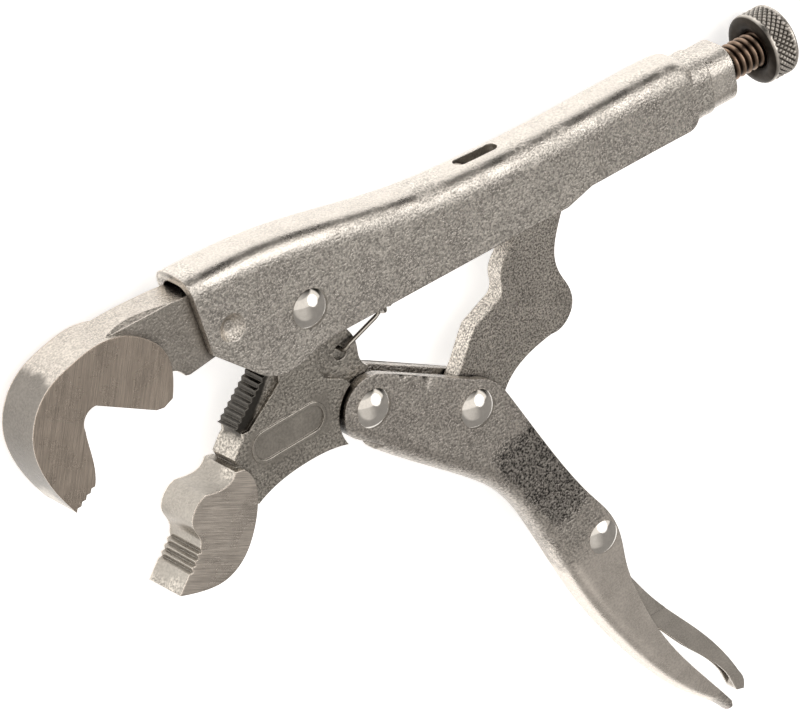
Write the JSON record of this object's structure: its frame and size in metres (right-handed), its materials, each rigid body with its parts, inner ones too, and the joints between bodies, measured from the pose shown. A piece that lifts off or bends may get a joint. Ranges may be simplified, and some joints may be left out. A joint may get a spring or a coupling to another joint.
{
  "type": "locking pliers",
  "caption": "Nickel plated locking pliers, jaws open: hooked fixed jaw, swinging serrated jaw, toggle link, release lever, tension spring and a knurled adjusting screw in the upper handle.",
  "frame": {"origin": "bottom centre of the bounding box of the tool lying flat on its side, jaws open", "axes": "+X from the jaws to the knurled knob along the adjusting screw, +Y from the lower handle to the upper handle, +Z along every rivet, up from the surface the tool lies on"},
  "size_m": [0.204, 0.1698, 0.0165],
  "materials": {
    "forged_nickel": "nickel plated forging, fine pebbled skin",
    "ground_nickel": "nickel plated steel with ground side faces",
    "pressed_nickel": "nickel plated pressed sheet, satin with a fine pebble",
    "plate_nickel": "nickel plated plate, dull satin",
    "lever_nickel": "nickel plated thin sheet, satin",
    "bush_nickel": "nickel plated, lightly pebbled",
    "thread_steel": "oiled cut thread with bright crests",
    "knob_nickel": "nickel plated, knurled",
    "spring_steel": "bright spring wire",
    "rivet_nickel": "polished nickel domes"
  },
  "bodies": {
    "handle": {"upper_handle": "pressed_nickel", "upper_jaw": "ground_nickel", "threaded_bush": "bush_nickel", "main_rivet": "rivet_nickel", "tension_spring": "spring_steel"},
    "jaw": {"lower_jaw": "forged_nickel"},
    "grip": {"lower_handle": "pressed_nickel", "grip_rivet": "rivet_nickel", "link_rivet": "rivet_nickel", "lever_rivet": "rivet_nickel"},
    "link": {"toggle_link": "plate_nickel"},
    "lever": {"release_lever": "lever_nickel"},
    "screw": {"adjusting_screw": "thread_steel"},
    "knob": {"adjusting_knob": "knob_nickel"}
  },
  "joints": [
    {"name": "jaw_close", "type": "hinge", "parent": "handle", "child": "jaw", "pos_m": [-0.03232, 0.06552, 0.00823], "axis": [0, 0, -1], "range_deg": [0, 31], "deforming": ["tension_spring"]},
    {"name": "grip_fold", "type": "hinge", "parent": "jaw", "child": "grip", "pos_m": [-0.02112, 0.03552, 0.00823], "axis": [0, 0, 1], "range_deg": [0, 58.2]},
    {"name": "link_fold", "type": "hinge", "parent": "grip", "child": "link", "pos_m": [0.00428, 0.02252, 0.00823], "axis": [0, 0, -1], "range_deg": [0, 46.1]},
    {"name": "lever_press", "type": "hinge", "parent": "grip", "child": "lever", "pos_m": [0.03008, -0.02318, 0.00823], "axis": [0, 0, -1], "range_deg": [0, 2]},
    {"name": "screw_travel", "type": "slide", "parent": "handle", "child": "screw", "axis": [1, 0, 0], "range_m": [0, 0.00875]},
    {"name": "knob_turn", "type": "hinge", "parent": "screw", "child": "knob", "pos_m": [0.09768, 0.06552, 0.00823], "axis": [1, 0, 0], "range_deg": [0, 1802]}
  ],
  "couplings": [
    {"joint": "grip_fold", "follows": "jaw_close", "ratio": 1.87},
    {"joint": "link_fold", "follows": "jaw_close", "ratio": 1.48},
    {"joint": "knob_turn", "follows": "screw_travel", "rad_per_m": 3590.4}
  ]
}
